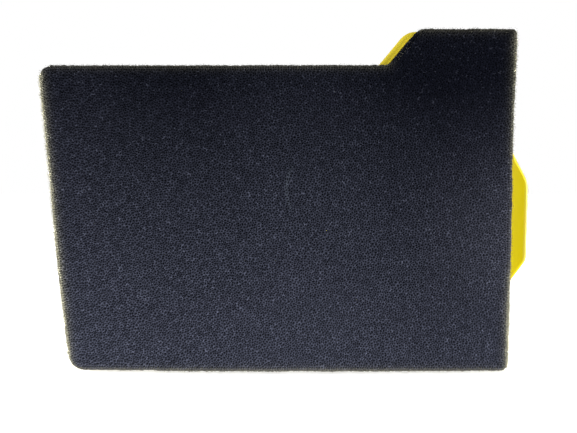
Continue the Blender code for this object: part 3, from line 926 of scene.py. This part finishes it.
def add_wire(points, faces, path, radius, sides=5):
    """Round wire along a path of points, with flat ends."""
    base = len(points)
    for index, here in enumerate(path):
        ahead = path[min(index + 1, len(path) - 1)] - path[max(index - 1, 0)]
        ahead.normalize()
        across = ahead.cross(Vector((0.0, 1.0, 0.0))).normalized()
        up = across.cross(ahead)
        for side in range(sides):
            angle = math.tau * side / sides
            points.append(here + (across * math.cos(angle) + up * math.sin(angle)) * radius)
    for index in range(len(path) - 1):
        for side in range(sides):
            a, b = base + index * sides + side, base + index * sides + (side + 1) % sides
            faces.append((a, a + sides, b + sides, b))
    last = base + (len(path) - 1) * sides
    faces += [tuple(range(base, base + sides)), tuple(range(last + sides - 1, last - 1, -1))]


def make_screen(settings, material):
    """Plain-woven wires, each passing over and under its neighbours."""
    low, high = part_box(SCREEN_NODE)
    middle = (low.y + high.y) / 2
    radius = settings.wire_diameter / 2
    swing = radius * 0.95
    columns = round((high.x - low.x) / settings.wire_pitch)
    rows = round((high.z - low.z) / settings.wire_pitch)
    step_x, step_z = (high.x - low.x) / columns, (high.z - low.z) / rows
    points, faces = [], []
    for row in range(rows):
        z = low.z + (row + 0.5) * step_z
        path = []
        for point in range(4 * columns + 1):
            share = point / 4
            wave = math.sin(math.pi * (share + row))
            path.append(Vector((low.x + share * step_x, middle + swing * wave, z)))
        add_wire(points, faces, path, radius)
    for column in range(columns):
        x = low.x + (column + 0.5) * step_x
        path = []
        for point in range(4 * rows + 1):
            share = point / 4
            wave = -math.sin(math.pi * (share + column))
            path.append(Vector((x, middle + swing * wave, low.z + share * step_z)))
        add_wire(points, faces, path, radius)
    screen = add_piece("woven_screen", points, faces, material, smooth=True)
    screen.data.set_sharp_from_angle(angle=math.radians(60))
    return screen


# ---------------------------------------------------------------- stage

WHITE = (1.0, 1.0, 1.0)
WARM_WHITE = (1.0, 0.98, 0.88)
FILTER_MIDDLE = (0.0, 0.0, 0.05)
LEFT_EDGE = (-0.095, -0.0145, 0.062)
RIGHT_EDGE = (0.088, -0.0145, 0.070)
# Name, place, target, width and height, watts, tint, spread in degrees
LIGHTS = (
    ("high_key", (-0.35, -0.40, 0.50), (0.0, 0.0, 0.08), (0.40, 0.40), 5.0, WHITE, 180.0),
    ("low_front", (-0.03, -0.15, 0.012), (0.0, 0.0, 0.04), (0.30, 0.03), 0.15, WHITE, 180.0),
    ("left_rim", (-0.50, 0.06, 0.07), FILTER_MIDDLE, (0.25, 0.25), 2.0, WHITE, 180.0),
    ("right_rim", (0.50, 0.06, 0.07), FILTER_MIDDLE, (0.25, 0.25), 1.2, WHITE, 180.0),
    ("left_strip", (-0.40, 0.012, 0.062), LEFT_EDGE, (0.01, 0.12), 0.060, WARM_WHITE, 5.0),
    ("right_strip", (0.40, 0.012, 0.070), RIGHT_EDGE, (0.01, 0.14), 0.051, WARM_WHITE, 5.0),
    ("soft_rear", (0.10, 0.70, 0.50), FILTER_MIDDLE, (0.60, 0.60), 6.0, WHITE, 180.0),
)


def add_area_light(name, place, target, size, power, tint, spread):
    light = bpy.data.lights.new(name, "AREA")
    light.shape = "RECTANGLE"
    light.size, light.size_y = size
    light.energy = power
    light.color = tint
    light.spread = math.radians(spread)
    lamp = bpy.data.objects.new(name, light)
    lamp.location = place
    lamp.rotation_euler = (Vector(target) - Vector(place)).to_track_quat("-Z", "Y").to_euler()
    lamp.visible_camera = False
    bpy.context.scene.collection.objects.link(lamp)


def add_floor():
    half = 20.0
    corners = [(-half, -half, 0.0), (half, -half, 0.0), (half, half, 0.0), (-half, half, 0.0)]
    floor = add_piece("pale_floor", corners, [(0, 1, 2, 3)], pale_floor())


def add_world():
    """White studio: fully white to the lens, dimmer as a source of light."""
    world = bpy.data.worlds.new("white_studio")
    world.use_nodes = True
    tree = world.node_tree
    background = tree.nodes["Background"]
    background.inputs["Color"].default_value = (1.0, 1.0, 1.0, 1.0)
    path = tree.nodes.new("ShaderNodeLightPath")
    strength = tree.nodes.new("ShaderNodeMapRange")
    strength.inputs["To Min"].default_value = 0.18
    strength.inputs["To Max"].default_value = 1.0
    tree.links.new(path.outputs["Is Camera Ray"], strength.inputs["Value"])
    tree.links.new(strength.outputs["Result"], background.inputs["Strength"])
    bpy.context.scene.world = world


def add_camera(settings):
    aim = Vector((settings.aim_side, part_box(FOAM_NODE)[0].y, settings.aim_height))
    back = Vector((0.0, -math.cos(settings.tilt), math.sin(settings.tilt)))
    camera = bpy.data.objects.new("camera", bpy.data.cameras.new("camera"))
    camera.data.lens = settings.lens
    camera.data.sensor_width = 36.0
    camera.data.clip_start = 0.01
    camera.location = aim + back * settings.distance
    camera.rotation_euler = (-back).to_track_quat("-Z", "Y").to_euler()
    bpy.context.scene.collection.objects.link(camera)
    bpy.context.scene.camera = camera


# ---------------------------------------------------------------- operators


class FILTER_OT_foam(bpy.types.Operator):
    """Make the foam pre-cleaner with its open cells and cut strut ends"""

    bl_idname = "panel_filter.foam"
    bl_label = "Foam Pre-cleaner"

    def execute(self, context):
        settings = context.scene.filter_foam
        pad, roots, directions = make_foam_pad(settings)
        settle(pad, PRECLEANER, "foam", FOAM_NODE)
        strands = make_strands(settings, roots, directions)
        settle(strands, PRECLEANER, "foam")
        return {"FINISHED"}


class FILTER_OT_housing(bpy.types.Operator):
    """Make the cast polyurethane housing"""

    bl_idname = "panel_filter.housing"
    bl_label = "Cast Housing"

    def execute(self, context):
        housing = make_housing(context.scene.filter_housing)
        settle(housing, CARTRIDGE, "polyurethane", HOUSING_NODE)
        return {"FINISHED"}


class FILTER_OT_paper(bpy.types.Operator):
    """Make the pleated paper and finish its card strips"""

    bl_idname = "panel_filter.paper"
    bl_label = "Pleated Paper"

    def execute(self, context):
        settings = context.scene.filter_paper
        settle(make_pleats(settings), CARTRIDGE, "filter_paper", PAPER_NODE)
        card = strip_card(settings)
        for node in ("pleat_strip_left", "pleat_strip_right"):
            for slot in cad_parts[node].material_slots:
                slot.material = card
        return {"FINISHED"}


class FILTER_OT_melt(bpy.types.Operator):
    """Lay the hot-melt strings across the pleat tips"""

    bl_idname = "panel_filter.melt"
    bl_label = "Hot-melt Strings"

    def execute(self, context):
        settings = context.scene.filter_melt
        material = set_melt(settings)
        beads = sorted(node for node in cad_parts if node.startswith("separator_bead"))
        for seed, node in enumerate(beads):
            settle(make_melt_string(node, settings, material, seed), CARTRIDGE, "hot_melt", node)
        return {"FINISHED"}


class FILTER_OT_screen(bpy.types.Operator):
    """Weave the wire screen"""

    bl_idname = "panel_filter.screen"
    bl_label = "Wire Screen"

    def execute(self, context):
        screen = make_screen(context.scene.filter_screen, zinc_wire())
        settle(screen, CARTRIDGE, "zinc_wire", SCREEN_NODE)
        return {"FINISHED"}


class FILTER_OT_stage(bpy.types.Operator):
    """Set the floor, the lights and the camera"""

    bl_idname = "panel_filter.stage"
    bl_label = "Stage"

    def execute(self, context):
        add_floor()
        add_world()
        for light in LIGHTS:
            add_area_light(*light)
        add_camera(context.scene.filter_stage)
        context.scene.view_settings.view_transform = "Standard"
        return {"FINISHED"}


class FILTER_PT_panel(bpy.types.Panel):
    """Lists the pieces of the filter"""

    bl_label = "Panel Air Filter"
    bl_space_type = "VIEW_3D"
    bl_region_type = "UI"
    bl_category = "Panel Filter"

    def draw(self, context):
        for operator in OPERATORS:
            self.layout.operator(operator.bl_idname)


SETTINGS = {
    "filter_foam": FoamSettings,
    "filter_housing": HousingSettings,
    "filter_paper": PaperSettings,
    "filter_melt": MeltSettings,
    "filter_screen": ScreenSettings,
    "filter_stage": StageSettings,
}
OPERATORS = (
    FILTER_OT_stage,
    FILTER_OT_foam,
    FILTER_OT_housing,
    FILTER_OT_paper,
    FILTER_OT_melt,
    FILTER_OT_screen,
)


def register():
    for name, group in SETTINGS.items():
        bpy.utils.register_class(group)
        setattr(bpy.types.Scene, name, bpy.props.PointerProperty(type=group))
    for operator in OPERATORS:
        bpy.utils.register_class(operator)
    bpy.utils.register_class(FILTER_PT_panel)


def unregister():
    bpy.utils.unregister_class(FILTER_PT_panel)
    for operator in reversed(OPERATORS):
        bpy.utils.unregister_class(operator)
    for name, group in SETTINGS.items():
        delattr(bpy.types.Scene, name)
        bpy.utils.unregister_class(group)


def main():
    register()
    bpy.ops.panel_filter.stage()
    bpy.ops.panel_filter.foam()
    bpy.ops.panel_filter.housing()
    bpy.ops.panel_filter.paper()
    bpy.ops.panel_filter.melt()
    bpy.ops.panel_filter.screen()


if __name__ == "__main__":
    main()
